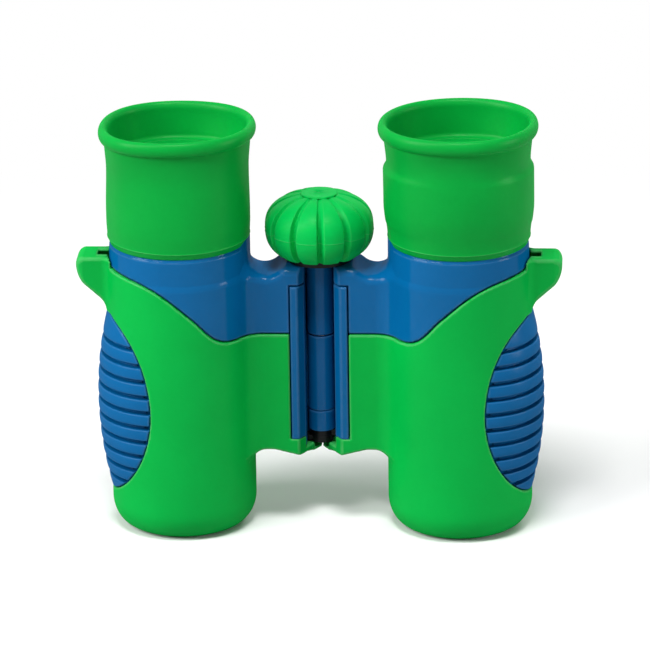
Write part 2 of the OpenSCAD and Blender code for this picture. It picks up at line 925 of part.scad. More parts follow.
// The knob's rounded form, a squashed ball with flutes up to its flat top.
module knob_form() {
    power = 2.2;
    below = 6;
    above = 8;
    low = disc_z + disc_t + run_gap - knob_z;
    a0 = -asin(pow(-low / knob_half, power / 2));
    a1 = acos(pow(knob_flat_r / knob_r, power / 2));
    per = flute_count * 6;
    last = below + above;
    levels = [for (i = [0:last])
        let (a = i < below ? a0 * (below - i) / below : a1 * (i - below) / above)
        [knob_r * pow(cos(a), 2 / power), sign(a) * knob_half * pow(abs(sin(a)), 2 / power)]];
    points = [for (i = [0:last])
        each knob_ring(levels[i][0], levels[i][1], i == last ? flute_edge : 1)];
    walls = [for (i = [0:last - 1]) for (j = [0:per - 1])
        let (a = i * per + j, b = i * per + (j + 1) % per)
        each [[a, a + per, b + per], [a, b + per, b]]];
    centre = len(points);
    caps = [for (j = [0:per - 1])
        each [[centre, j, (j + 1) % per],
              [centre + 1, last * per + (j + 1) % per, last * per + j]]];
    polyhedron(
        points = concat(points, [[0, 0, levels[0][1]], [0, 0, levels[last][1]]]),
        faces = concat(walls, caps)
    );
}

module focus_knob() {
    color(GREEN)
        on_hinge(knob_z)
            difference() {
                knob_form();
                translate([0, 0, -far])
                    cylinder(r = post_r + run_gap, h = far + post_rise + run_gap);
            }
}

module hinge_axle() {
    color(STEEL)
        on_hinge(low_knuckle + seat_gap)
            tube(axle_r, screw_r + run_gap, bridge_top - armour_step - low_knuckle - seat_gap);
}

module housing_left() side(-1) housing();
module housing_right() side(1) housing();
module armour_left() side(-1) armour();
module armour_right() side(1) armour();
module grip_pad_left() side(-1) grip_pad();
module grip_pad_right() side(1) grip_pad();
module hinge_frame_left() side(-1) hinge_frame(left_rows, right_rows, axle_r + eps);
module hinge_frame_right() side(1) hinge_frame(right_rows, left_rows, axle_r + run_gap);
module eyecup_left() side(-1) eyecup(swell_left);
module eyecup_right() side(1) eyecup(swell_right);
module eyepiece_tube_left() side(-1) eyepiece_tube();
module eyepiece_tube_right() side(1) eyepiece_tube();
module eye_lens_left() side(-1) eye_lens();
module eye_lens_right() side(1) eye_lens();
module eye_lens_ring_left() side(-1) eye_lens_ring();
module eye_lens_ring_right() side(1) eye_lens_ring();
module field_lens_left() side(-1) field_lens();
module field_lens_right() side(1) field_lens();
module prism_cage_left() side(-1) prism_cage();
module prism_cage_right() side(1) prism_cage();
module pechan_prism_left() side(-1) pechan_prism();
module pechan_prism_right() side(1) pechan_prism();
module roof_prism_left() side(-1) roof_prism();
module roof_prism_right() side(1) roof_prism();
module objective_cell_left() side(-1) objective_cell(hub_z);
module objective_cell_right() side(1) objective_cell(hub_split);
module objective_lens_left() side(-1) objective_lens();
module objective_lens_right() side(1) objective_lens();
module objective_ring_left() side(-1) objective_ring();
module objective_ring_right() side(1) objective_ring();

housing_left();
housing_right();
armour_left();
armour_right();
grip_pad_left();
grip_pad_right();
hinge_frame_left();
hinge_frame_right();
eyecup_left();
eyecup_right();
eyepiece_tube_left();
eyepiece_tube_right();
eye_lens_left();
eye_lens_right();
eye_lens_ring_left();
eye_lens_ring_right();
field_lens_left();
field_lens_right();
prism_cage_left();
prism_cage_right();
pechan_prism_left();
pechan_prism_right();
roof_prism_left();
roof_prism_right();
objective_cell_left();
objective_cell_right();
objective_lens_left();
objective_lens_right();
objective_ring_left();
objective_ring_right();
focus_arm_left();
focus_arm_right();
focus_screw();
focus_knob();
knob_core();
hinge_axle();
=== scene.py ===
"""Toy binoculars: finished shells, eyecups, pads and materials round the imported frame.

Shapes are worked out in millimetres in the frame's axes and go to metres when a mesh is made.
The shells are shaped on the +X side and mirrored for the left half. The eyecups and the knob
are profiles turned round their axes.
"""
import math

import bpy
import numpy as np
from mathutils import Matrix, Vector

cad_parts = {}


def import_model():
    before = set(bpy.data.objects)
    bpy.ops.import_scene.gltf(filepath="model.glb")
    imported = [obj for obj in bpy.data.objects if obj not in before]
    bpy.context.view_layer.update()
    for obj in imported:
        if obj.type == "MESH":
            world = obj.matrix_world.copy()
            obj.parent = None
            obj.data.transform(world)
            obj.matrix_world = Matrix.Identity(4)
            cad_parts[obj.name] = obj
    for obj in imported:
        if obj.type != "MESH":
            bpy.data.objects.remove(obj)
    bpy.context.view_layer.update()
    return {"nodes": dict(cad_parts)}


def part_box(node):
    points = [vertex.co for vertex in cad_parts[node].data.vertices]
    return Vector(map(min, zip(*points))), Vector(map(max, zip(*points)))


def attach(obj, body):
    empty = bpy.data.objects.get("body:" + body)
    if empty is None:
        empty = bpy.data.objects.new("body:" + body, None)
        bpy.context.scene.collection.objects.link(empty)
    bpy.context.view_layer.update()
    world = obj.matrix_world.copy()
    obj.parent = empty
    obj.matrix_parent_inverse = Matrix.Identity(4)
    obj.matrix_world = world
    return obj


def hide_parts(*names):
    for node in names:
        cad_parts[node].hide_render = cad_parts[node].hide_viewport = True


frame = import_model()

MM = 0.001


def box_mm(node):
    """Lowest and highest corner of a CAD node, in millimetres."""
    low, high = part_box(node)
    return np.array(low) / MM, np.array(high) / MM


# Sizes that come from the frame
TUBE_LOW, TUBE_HIGH = box_mm("eyepiece_tube_right")
CUP_LOW, CUP_HIGH = box_mm("eyecup_right")
ARMOUR_HIGH = box_mm("armour_right")[1]
STRIP_LOW, STRIP_HIGH = box_mm("hinge_frame_right")
KNOB_LOW = box_mm("focus_knob")[0]
AXLE_LOW, AXLE_HIGH = box_mm("hinge_axle")
AXIS_X = (TUBE_LOW[0] + TUBE_HIGH[0]) / 2
HINGE_Y = (AXLE_LOW[1] + AXLE_HIGH[1]) / 2
ARMOUR_R = ARMOUR_HIGH[1]
SHOULDER_Z = CUP_LOW[2]
LUG_END = ARMOUR_HIGH[0] - AXIS_X
LUG_TOP = ARMOUR_HIGH[2]
FRONT_Y = STRIP_LOW[1]
STRIP_X = STRIP_HIGH[0]

# Barrels: the armour's thickness, how far it stands out from the housing, and the core's wall
SKIN, PROUD, CORE_SKIN = 1.6, 0.4, 1.7
CORE_R = ARMOUR_R - SKIN
BODY_R = ARMOUR_R - PROUD
TAPER, SHOULDER_EDGE = 0.4, 1.0
EDGE_R, EDGE_TALL = 5.0, 7.0
LIP_H = 3.0
WELL_R, WELL_EDGE = 12.3, 0.5
BORE_R, NECK_R = 14.2, 12.1
PLATE_Z = SHOULDER_Z - 5.1

# Bridge between the barrels, with a saddle above and an arch below
BACK_Y = 9.5
BRIDGE_LOW, BRIDGE_TOP = 18.8, 69.0
BRIDGE_HOLLOW = 6.0
BRIDGE_EDGE, ARCH_EDGE, HOUSING_EDGE = 1.0, 0.7, 2.2
SADDLE_R, SADDLE_DIP, SADDLE_EDGE = 4.0, 2.2, 1.2
ARCH_R, ARCH_RISE, ARCH_FLAT, ARCH_RUN = 4.0, 1.6, 3.9, 6.3

# Wave of the armour's upper edge
WAVE_LOW, WAVE_RISE, WAVE_RATE, WAVE_MID = 51.5, 18.0, 0.205, -2.9
WAVE_FOOT, WAVE_STEEP = -4.0, 0.024

# Hinge: strips, knuckles, the V in front and the way of the focus arms
FRAME_TOP, FRAME_WALL = 63.8, 1.7
LEDGE_TOP, LEDGE_DEPTH = 23.3, 3.0
KNUCKLE_R, TURN_GAP, AXLE_WAY_R = 3.4, 0.3, 2.45
V_ANGLE = math.radians(30.5)
ARM_WAY_Z = (18.85, 23.4)
ARM_WAY_HALF, ARM_WAY_IN = 1.75, 3
HUB_WAY_R, HUB_FLOOR = 3.15, 0.65
HUB_SLOPE, HUB_OUT, HUB_INSET = 0.22, 3, 0.2
RIGHT_ROWS = ((23.4, 28.8), (49.2, 68.6))
LEFT_ROWS = ((28.95, 48.8),)

# Strap lug with its slot and the pocket under it
LUG_HALF, LUG_H, LUG_ROUND, LUG_EDGE = 4.9, 6.4, 2.4, 0.9
LUG_SLOPE = math.radians(48)
LUG_HOLLOW, LUG_SIDE = 5.0, 2.5
SLOT_W, SLOT_HALF = 2.6, 1.7
POCKET_HALF, POCKET_LOW, POCKET_HIGH = 3.4, 4, 0.45

# Grip pad and its window
PAD_SHIFT, PAD_R, PAD_ARC, PAD_MID = 4.5, 16.8, 93.54, 33.3
PAD_WIDE, PAD_FLARE_UP, PAD_FLARE_DOWN = 1.012, 0.00012, 0.00007
PAD_CROWN = 0.22
WINDOW_GAP, WINDOW_IN, WINDOW_REACH, WINDOW_LEAST = 0.12, 2, 6, 0.12
GROOVES, GROOVE_FIRST, GROOVE_PITCH = 10, 13.9, 4.02
GROOVE_HALF, GROOVE_DEPTH, GROOVE_EDGE, RIB_END = 0.6, 1.8, 0.16, 0.6

# Gaps between neighbours, and how far forms run past the faces that bound them
PART_GAP, LINE_GAP, SEAT_GAP, SHELL_GAP, FILL_GAP = 0.15, 0.3, 0.1, 0.05, 0.03
AHEAD, OVERLAP = 1, 0.01

# Rounding of edges, which the plain frame leaves sharp
TIGHT, NEAT, FINE, MILD, EASED, SOFT = 0.1, 0.15, 0.2, 0.25, 0.3, 0.35

COARSE = 1.0


# Fields of distances: negative inside, in millimetres

def meet(a, b, r):
    """Intersection of two forms with their shared edge rounded to radius r."""
    return np.minimum(-r, np.maximum(a, b)) + np.hypot(np.maximum(r + a, 0), np.maximum(r + b, 0))


def cut(a, b, r):
    """The first form without the second, its new edges rounded to radius r."""
    return meet(a, -b, r)


def slab(v, low, high):
    return np.maximum(low - v, v - high)


def barrel_rho(x, y):
    return np.hypot(x - AXIS_X, y)


def hinge_rho(x, y):
    return np.hypot(x, y - HINGE_Y)


def web(u, v, half, r, inset):
    """A barrel seen from above with a wall of the given half width standing out along u."""
    rho = np.hypot(u, v)
    round_part = rho - (ARMOUR_R - inset)
    flat = np.where(u > 0, np.minimum(round_part, v - (half - inset)), round_part)
    cv = half + r
    cu = math.sqrt((ARMOUR_R + r) ** 2 - cv ** 2)
    du, dv = u - cu, v - cv
    hollow = (du <= 0) & (cv * du - cu * dv >= 0)
    return np.where(hollow, r + inset - np.hypot(du, dv), flat)


def bridge_plan(x, y, inset):
    u = AXIS_X - x
    front = web(u, -y, -FRONT_Y, BRIDGE_HOLLOW, inset)
    back = web(u, y, BACK_Y, BRIDGE_HOLLOW, inset)
    return np.where(y < 0, front, back)


def bridge_top(rho, z, inset):
    """Top of the bridge with its saddle beside the barrel."""
    cr = ARMOUR_R + SADDLE_R
    cz = BRIDGE_TOP - SADDLE_DIP + SADDLE_R
    circle = SADDLE_R + inset - np.hypot(rho - cr, z - cz)
    beside = np.where(z > cz, rho - (ARMOUR_R - inset), circle)
    over = meet(z - (BRIDGE_TOP - inset), circle, SADDLE_EDGE)
    return np.where(rho < cr, beside, over)


def bridge_low(rho, z, inset):
    """Underside of the bridge with its arch beside the barrel."""
    cr = ARMOUR_R + ARCH_R
    cz = BRIDGE_LOW + ARCH_RISE - ARCH_R
    flat_end = AXIS_X - STRIP_X - ARCH_FLAT
    drop = ARCH_RISE * np.clip((rho - flat_end) / ARCH_RUN, 0, 1)
    flat = BRIDGE_LOW + ARCH_RISE + inset - drop - z
    circle = ARCH_R + inset - np.hypot(rho - cr, z - cz)
    beside = np.where(z < cz, rho - (ARMOUR_R - inset), circle)
    return np.where(rho < cr, beside, flat)


def bridge(x, y, z, inset, top_r, low_r):
    """The bridge with the barrel beside it, its upper and lower edges rounded."""
    rho = barrel_rho(x, y)
    form = meet(bridge_plan(x, y, inset), bridge_top(rho, z, inset), top_r)
    form = meet(form, bridge_low(rho, z, inset), low_r)
    return np.maximum(form, BRIDGE_LOW / 2 - z)


def above_wave(x, z):
    """Distance above the armour's upper edge, a wave that starts steeply on the hinge's side."""
    u = x - AXIS_X
    steep = np.maximum(WAVE_FOOT - u, 0)
    share = 1 / (1 + np.exp(WAVE_STEEP * steep ** 2 - WAVE_RATE * (u - WAVE_MID)))
    slope = (WAVE_RATE + 2 * WAVE_STEEP * steep) * WAVE_RISE * share * (1 - share)
    return (z - WAVE_LOW - WAVE_RISE * share) / np.hypot(1, slope)


def own_half(x, y):
    """What belongs to the right half: outside the V in front and the joint behind."""
    wall = (x - PART_GAP) * math.cos(V_ANGLE) + (y - HINGE_Y) * math.sin(V_ANGLE)
    return np.maximum(-wall, PART_GAP - x)


def frame_space(x, y, z, gap):
    """Room of the hinge frame, grown by a gap; behind the hinge the frame nearly fills it."""
    back = BACK_Y - FRAME_WALL + gap
    inner = FRONT_Y + LEDGE_DEPTH + SEAT_GAP - gap
    floor_z = BRIDGE_LOW + FRAME_WALL - gap
    high = np.maximum(slab(y, FRONT_Y - AHEAD, back), slab(z, LEDGE_TOP, FRAME_TOP + gap))
    low = np.maximum(slab(y, inner, back), slab(z, floor_z, LEDGE_TOP + OVERLAP))
    fill = (LINE_GAP - FILL_GAP) * np.clip(y - HINGE_Y, 0, 1)
    return np.maximum(x - STRIP_X - np.maximum(gap, fill), np.minimum(high, low))


def knuckle_way(x, y):
    """Open channel in front of the knuckles, as wide as they need to turn."""
    return np.maximum(np.abs(x) - KNUCKLE_R - TURN_GAP, y - HINGE_Y)


def corner_block(x, y, z, gap):
    """The armour's solid corner under the strip."""
    sides = np.maximum(x - (STRIP_X + LINE_GAP + gap), y - (FRONT_Y + LEDGE_DEPTH + gap))
    return np.maximum(sides, z - (LEDGE_TOP - SEAT_GAP + gap))


def arm_way(x, y, z):
    """Way of the focus arms from the hub into the barrel."""
    end = AXIS_X - BORE_R + ARM_WAY_IN
    channel = np.maximum(np.abs(y - HINGE_Y) - ARM_WAY_HALF, x - end)
    hub = hinge_rho(x, y) - HUB_WAY_R
    return np.maximum(np.minimum(channel, hub), slab(z, *ARM_WAY_Z))


def hub_floor(x, y, z):
    """Thin floor of the armour under the hub, where the bridge's underside meets the hinge."""
    out = hinge_rho(x, y) - HUB_WAY_R
    under = BRIDGE_LOW - HUB_FLOOR + HUB_SLOPE * np.clip(out, 0, HUB_OUT) - z
    plate = np.maximum(np.maximum(under, z - ARM_WAY_Z[0]), out - HUB_OUT)
    return np.maximum(plate, bridge_plan(x, y, HUB_INSET))


def pad_width(z):
    """How much wider than round the pad is from front to back."""
    off = z - PAD_MID
    return PAD_WIDE + np.where(off > 0, PAD_FLARE_UP, PAD_FLARE_DOWN) * off ** 2


def pad_rho(x, y, z):
    return np.hypot(x - AXIS_X - PAD_SHIFT, y / pad_width(z))


def pad_radius(z):
    return PAD_R - PAD_ARC + np.sqrt(np.maximum(PAD_ARC ** 2 - (z - PAD_MID) ** 2, 1))


def window(x, y, z):
    """Distance from the outline of a pad's window, along the armour; negative in the window."""
    rho = np.maximum(barrel_rho(x, y), 1)
    out = ARMOUR_R * (x - AXIS_X) / rho - PAD_SHIFT
    side = ARMOUR_R * y / rho / pad_width(z)
    over = np.hypot(out, side)
    across = PAD_SHIFT * side / (over * ARMOUR_R)
    off = z - PAD_MID
    along = off / np.sqrt(np.maximum(PAD_ARC ** 2 - off ** 2, 1))
    gap = (over - pad_radius(z)) / np.maximum(np.hypot(across, along), WINDOW_LEAST)
    return np.clip(gap, -WINDOW_REACH, WINDOW_REACH)


def lug(x, y, z):
    """Strap lug: a block with rounded ends whose underside slopes into the armour."""
    u = x - AXIS_X
    v = np.abs(y)
    spread = math.asin((LUG_HALF + LUG_SIDE) / (ARMOUR_R + LUG_SIDE))
    wedge = v * math.cos(spread) - u * math.sin(spread)
    plan = np.maximum(web(u, v, LUG_HALF, LUG_SIDE, 0), wedge)
    plan = meet(plan, u - LUG_END, LUG_ROUND)
    low = LUG_TOP - LUG_H + LUG_ROUND
    end = LUG_END - LUG_ROUND
    cos, sin = math.cos(LUG_SLOPE), math.sin(LUG_SLOPE)
    under = (u - end) * cos - (z - low) * sin - LUG_ROUND
    start_u = end + LUG_ROUND * cos - ARMOUR_R
    start_z = low - LUG_ROUND * sin
    hollow_u = LUG_HOLLOW * (1 - cos)
    foot_z = start_z - (start_u - hollow_u) * cos / sin - LUG_HOLLOW * sin
    du, dz = u - ARMOUR_R - LUG_HOLLOW, z - foot_z
    in_hollow = (dz >= 0) & (du * sin + dz * cos <= 0)
    under = np.where(in_hollow, LUG_HOLLOW - np.hypot(du, dz), under)
    under = np.where(dz < 0, np.maximum(under, u - ARMOUR_R), under)
    side = meet(meet(z - LUG_TOP, u - LUG_END, LUG_ROUND), under, LUG_ROUND)
    return meet(plan, side, LUG_EDGE)


def strap_way(x, y, half):
    """Way of the strap between the lug and the housing, with the given half width."""
    wall = AXIS_X + BODY_R
    return np.maximum(slab(x, wall - SEAT_GAP, wall + SLOT_W), np.abs(y) - half)


def armour(x, y, z):
    """Green skin of one barrel and its half of the bridge, with the strap lug."""
    rho = barrel_rho(x, y)
    squeezed = np.where(z < EDGE_TALL, z * EDGE_R / EDGE_TALL, z - EDGE_TALL + EDGE_R)
    barrel = meet(rho - ARMOUR_R, -squeezed, EDGE_R)
    form = np.minimum(barrel, bridge(x, y, z, 0, BRIDGE_EDGE, ARCH_EDGE))
    form = meet(form, above_wave(x, z) + LINE_GAP, SOFT)
    form = np.minimum(form, lug(x, y, z))
    block = corner_block(x, y, z, 0)
    barrel_room = np.maximum(rho - CORE_R, LIP_H - z)
    room = np.minimum(barrel_room, bridge(x, y, z, SKIN, BRIDGE_EDGE, EASED))
    form = cut(form, np.maximum(room, -block), FINE)
    housing_room = np.maximum(rho - BODY_R - SHELL_GAP, -above_wave(x, z) - LINE_GAP)
    form = cut(form, housing_room, FINE)
    form = cut(form, arm_way(x, y, z), NEAT)
    form = np.minimum(form, hub_floor(x, y, z))
    form = meet(form, own_half(x, y), EASED)
    form = cut(form, np.maximum(frame_space(x, y, z, LINE_GAP), -block), MILD)
    opening = np.maximum(window(x, y, z) - WINDOW_GAP, CORE_R - WINDOW_IN - rho)
    form = cut(form, opening, SOFT)
    form = cut(form, np.maximum(strap_way(x, y, SLOT_HALF), WAVE_LOW - z), MILD)
    pocket = slab(z, LUG_TOP - POCKET_LOW, LUG_TOP - POCKET_HIGH)
    form = cut(form, np.maximum(strap_way(x, y, POCKET_HALF), pocket), TIGHT)
    return cut(form, np.maximum(rho - WELL_R, z - LIP_H - 1), WELL_EDGE)


def housing(x, y, z):
    """Blue shell of one barrel and its half of the bridge; the armour covers its lower part."""
    rho = barrel_rho(x, y)
    top = SHOULDER_Z - SEAT_GAP
    share = np.clip((z - WAVE_LOW) / (top - WAVE_LOW), 0, 1)
    body = meet(rho - BODY_R + TAPER * share, z - top, SHOULDER_EDGE)
    form = np.minimum(body, bridge(x, y, z, PROUD, HOUSING_EDGE, BRIDGE_EDGE))
    form = meet(form, -above_wave(x, z), SOFT)
    core = np.maximum(rho - CORE_R + SEAT_GAP, slab(z, LIP_H + SEAT_GAP, PLATE_Z + LIP_H))
    core = np.minimum(core, bridge(x, y, z, CORE_SKIN, BRIDGE_EDGE, EASED))
    form = np.minimum(form, core)
    form = meet(form, own_half(x, y), EASED)
    form = cut(form, frame_space(x, y, z, LINE_GAP), EASED)
    form = cut(form, corner_block(x, y, z, SEAT_GAP), TIGHT)
    form = cut(form, arm_way(x, y, z), TIGHT)
    turning = np.minimum(hinge_rho(x, y) - KNUCKLE_R - TURN_GAP, knuckle_way(x, y))
    form = cut(form, np.maximum(turning, FRAME_TOP - z), EASED)
    form = cut(form, np.maximum(rho - BORE_R, z - PLATE_Z), TIGHT)
    return cut(form, rho - NECK_R, TIGHT)


def hinge_frame(rows, others):
    """Field of the frame that carries the knuckles of one half, clear of the other half's."""
    def field(x, y, z):
        turn = hinge_rho(x, y)
        form = meet(frame_space(x, y, z, 0), FRONT_Y - y, SOFT)
        form = meet(form, own_half(x, y), SOFT)
        for low, high in others:
            room = slab(z, low - TURN_GAP, high + TURN_GAP)
            form = cut(form, np.maximum(turn - KNUCKLE_R - TURN_GAP, room), NEAT)
        form = cut(form, arm_way(x, y, z), TIGHT)
        form = cut(form, knuckle_way(x, y), FINE)
        for low, high in rows:
            form = np.minimum(form, meet(turn - KNUCKLE_R, slab(z, low, high), MILD))
        return np.maximum(form, AXLE_WAY_R - turn)
    return field


def grip_pad(x, y, z):
    """Bulged pad whose ribs are slightly crowned between level grooves."""
    rho = pad_rho(x, y, z)
    place = (z - GROOVE_FIRST) / GROOVE_PITCH
    index = np.clip(np.round(place), 0, GROOVES - 1)
    off = np.abs(place - index) * GROOVE_PITCH
    ribbed = (place > -RIB_END) & (place < GROOVES - 1 + RIB_END)
    crown = PAD_CROWN * (1 - np.minimum(off / (GROOVE_PITCH / 2), 1)) ** 2
    slope = (z - PAD_MID) / PAD_ARC
    form = (rho - pad_radius(z)) / np.hypot(1, slope) + np.where(ribbed, crown, 0)
    groove = np.maximum(off - GROOVE_HALF, pad_radius(z) - GROOVE_DEPTH - rho)
    form = cut(form, groove, GROOVE_EDGE)
    form = meet(form, window(x, y, z) + SEAT_GAP, MILD)
    return meet(form, CORE_R + SHELL_GAP - barrel_rho(x, y), TIGHT)


# Meshes: blocks of cells, the moves that bring vertices onto the surface, and the bend's span

CORNERS = np.array([[i, j, k] for i in (0, 1) for j in (0, 1) for k in (0, 1)])
EDGES = [(a, b) for a in range(8) for b in range(a + 1, 8)
         if abs(CORNERS[a] - CORNERS[b]).sum() == 1]
BLOCK, BATCH, KEY = 8, 1024, 4096
BLOCK_REACH = 1.3
MOVES, MOVE_PACE, SLOPE_LEAST = 4, 0.9, 0.2
BEND_SPAN, BEND_MOST = 0.25, 2


def gradient(field, points, h=0.01):
    parts = []
    for axis in range(3):
        step = np.zeros(3)
        step[axis] = h
        parts.append((field(*(points + step).T) - field(*(points - step).T)) / (2 * h))
    return np.stack(parts, 1)


def grid_of(*counts):
    """Whole places of a grid, the last one changing fastest."""
    return np.stack(np.meshgrid(*[np.arange(n) for n in counts], indexing="ij"), -1)


def cell_keys(cells):
    return (cells[:, 0] * KEY + cells[:, 1]) * KEY + cells[:, 2]


def sampled_blocks(field, low, high, step):
    """Blocks of cells near the surface, and the field's values at their grid points."""
    size = step * BLOCK
    counts = np.ceil((np.array(high) - low) / size).astype(int)
    blocks = grid_of(*counts).reshape(-1, 3)
    reach = np.abs(field(*(low + (blocks + 0.5) * size).T))
    blocks = blocks[reach < size * BLOCK_REACH]
    local = grid_of(BLOCK + 1, BLOCK + 1, BLOCK + 1)
    values = np.empty((len(blocks),) + (BLOCK + 1,) * 3)
    for start in range(0, len(blocks), BATCH):
        part = blocks[start:start + BATCH]
        spots = low + (part[:, None, None, None, :] * BLOCK + local) * step
        found = field(*spots.reshape(-1, 3).T)
        values[start:start + BATCH] = found.reshape(values[start:start + BATCH].shape)
    return blocks, values


def cell_points(blocks, values, inside):
    """Places of the cells that the surface crosses, and the mean crossing point of each."""
    cells = sum(inside[:, i:i + BLOCK, j:j + BLOCK, k:k + BLOCK].astype(np.int8)
                for i, j, k in CORNERS)
    owner, ci, cj, ck = np.nonzero((cells > 0) & (cells < 8))
    place = blocks[owner] * BLOCK + np.stack([ci, cj, ck], 1)
    at = np.stack([values[owner, ci + i, cj + j, ck + k] for i, j, k in CORNERS], 1)
    total, hits = np.zeros((len(owner), 3)), np.zeros(len(owner))
    for a, b in EDGES:
        crossed = (at[:, a] < 0) != (at[:, b] < 0)
        share = np.where(crossed, at[:, a] / np.where(crossed, at[:, a] - at[:, b], 1), 0)
        spot = CORNERS[a] + share[:, None] * (CORNERS[b] - CORNERS[a])
        total += spot * crossed[:, None]
        hits += crossed
    return place, place + total / hits[:, None]


def cell_quads(blocks, inside, keys):
    """A quad for each grid edge that the surface crosses, between the four cells round it."""
    quads = []
    for axis in range(3):
        second, third = (axis + 1) % 3, (axis + 2) % 3
        ahead = [slice(0, BLOCK)] * 3
        ahead[axis] = slice(1, BLOCK + 1)
        here = inside[:, :BLOCK, :BLOCK, :BLOCK]
        there = inside[(slice(None), *ahead)]
        owner, ci, cj, ck = np.nonzero(here != there)
        outward = here[owner, ci, cj, ck]
        base = blocks[owner] * BLOCK + np.stack([ci, cj, ck], 1)
        ring = []
        for db, dc in ((0, 0), (1, 0), (1, 1), (0, 1)):
            cell = base.copy()
            cell[:, second] -= db
            cell[:, third] -= dc
            ring.append(np.searchsorted(keys, cell_keys(cell)))
        ring = np.stack(ring, 1)
        ring[~outward] = ring[~outward][:, ::-1]
        quads.append(ring)
    return np.concatenate(quads)


def surface(field, low, high, step):
    """Quads over the zero surface of a field, one vertex in each cell that the surface crosses.

    The vertices are then moved onto the surface. Returns them with their normals and the
    bend of the surface, which is positive on outer edges.
    """
    low = np.array(low, float)
    blocks, values = sampled_blocks(field, low, high, step)
    inside = values < 0
    place, spots = cell_points(blocks, values, inside)
    points = low + spots * step
    keys = cell_keys(place)
    order = np.argsort(keys)
    keys, points = keys[order], points[order]
    quads = cell_quads(blocks, inside, keys)
    for _ in range(MOVES):
        slope = gradient(field, points)
        steepness = np.maximum((slope ** 2).sum(1), SLOPE_LEAST)
        shift = np.clip(field(*points.T) / steepness, -step, step)
        points = points - shift[:, None] * slope * MOVE_PACE
    slope = gradient(field, points)
    normals = slope / np.maximum(np.linalg.norm(slope, axis=1), 1e-9)[:, None]
    bend = -6 * field(*points.T)
    for axis in range(3):
        for sign in (-BEND_SPAN, BEND_SPAN):
            spot = points.copy()
            spot[:, axis] += sign
            bend = bend + field(*spot.T)
    return points, quads, normals, np.clip(bend / BEND_SPAN ** 2, -BEND_MOST, BEND_MOST)


def mirrored(points, quads, normals, bend):
    flip = np.array([-1.0, 1.0, 1.0])
    return points * flip, quads[:, ::-1], normals * flip, bend


def put(name, data):
    """New object in the scene."""
    item = bpy.data.objects.new(name, data)
    bpy.context.scene.collection.objects.link(item)
    return item


def mesh_piece(name, points, quads, normals=None, bend=None):
    """Object with smooth quads from points in millimetres."""
    mesh = bpy.data.meshes.new(name)
    mesh.vertices.add(len(points))
    mesh.vertices.foreach_set("co", (np.asarray(points) * MM).astype(np.float32).ravel())
    mesh.loops.add(quads.size)
    mesh.loops.foreach_set("vertex_index", quads.astype(np.int32).ravel())
    mesh.polygons.add(len(quads))
    starts = np.arange(0, quads.size, quads.shape[1], dtype=np.int32)
    mesh.polygons.foreach_set("loop_start", starts)
    mesh.polygons.foreach_set("use_smooth", np.ones(len(quads), bool))
    mesh.update(calc_edges=True)
    mesh.validate()
    if normals is not None:
        mesh.normals_split_custom_set_from_vertices(normals.tolist())
    # The bend makes edges pale in the materials: the surface's real bend on the shells, a painted
    # highlight on the eyecups and the knob.
    if bend is not None:
        layer = mesh.attributes.new("bend", "FLOAT", "POINT")
        layer.data.foreach_set("value", bend.astype(np.float32))
    return put(name, mesh)


def dress(piece, body, node, material):
    piece.data.materials.append(material)
    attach(piece, body)
    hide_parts(node)
    return piece


# Materials: scales of their noises, and shares of what these change

CLOUD_SCALE, SPECK_SCALE, SCUFF_AND_HIGHLIGHT_SCALE, GLOSS_SCALE = 45.0, 900.0, 260.0, 120.0
CLOUD, MOTTLE, SPECK = 0.06, 0.05, 0.3
# Colour of pale edges, partly wear and partly a painted highlight: its share, the grey it goes
# towards and how much of the colour stays in it.
EDGE_WEAR_AND_HIGHLIGHT, EDGE_WEAR_AND_HIGHLIGHT_GREY, EDGE_WEAR_AND_HIGHLIGHT_TINT = 0.4, 0.35, 0.4
GRAZING_ROUGH = 0.75
BUMP_STRENGTH = 0.35
COAT_IOR = 2.0
SOFT_RADIUS, SOFT_SCALE = (0.2, 1.0, 0.3), 0.002


def new_material(name):
    """A material with its nodes, links and shader, and the object's coordinates."""
    material = bpy.data.materials.new(name)
    material.use_nodes = True
    nodes, links = material.node_tree.nodes, material.node_tree.links
    coords = nodes.new("ShaderNodeTexCoord").outputs["Object"]
    return material, nodes, links, nodes["Principled BSDF"], coords


def fill_sockets(links, sockets, values):
    """Gives each socket its value, which is a number, a colour or another node's socket."""
    for socket, value in zip(sockets, values):
        if isinstance(value, (tuple, float, int)):
            socket.default_value = value
        else:
            links.new(value, socket)


def ramp(nodes, links, source, stops):
    node = nodes.new("ShaderNodeValToRGB")
    while len(node.color_ramp.elements) < len(stops):
        node.color_ramp.elements.new(0.5)
    for element, (place, value) in zip(node.color_ramp.elements, stops):
        element.position = place
        element.color = value if isinstance(value, tuple) else (value, value, value, 1)
    links.new(source, node.inputs["Fac"])
    return node.outputs["Color"]


def noise(nodes, links, coords, scale, detail=4.0, rough=0.55):
    node = nodes.new("ShaderNodeTexNoise")
    node.inputs["Scale"].default_value = scale
    node.inputs["Detail"].default_value = detail
    node.inputs["Roughness"].default_value = rough
    links.new(coords, node.inputs["Vector"])
    return node.outputs["Fac"]


def mix(nodes, links, factor, a, b):
    """Mixes two colours by a factor."""
    node = nodes.new("ShaderNodeMix")
    node.data_type = "RGBA"
    fill_sockets(links, (node.inputs[0], node.inputs[6], node.inputs[7]), (factor, a, b))
    return node.outputs[2]


def worked_out(nodes, links, operation, a, b):
    """One step of arithmetic on two values."""
    node = nodes.new("ShaderNodeMath")
    node.operation = operation
    fill_sockets(links, node.inputs, (a, b))
    return node.outputs[0]


def shade(colour, factor):
    return tuple(min(1.0, c * factor) for c in colour) + (1.0,)


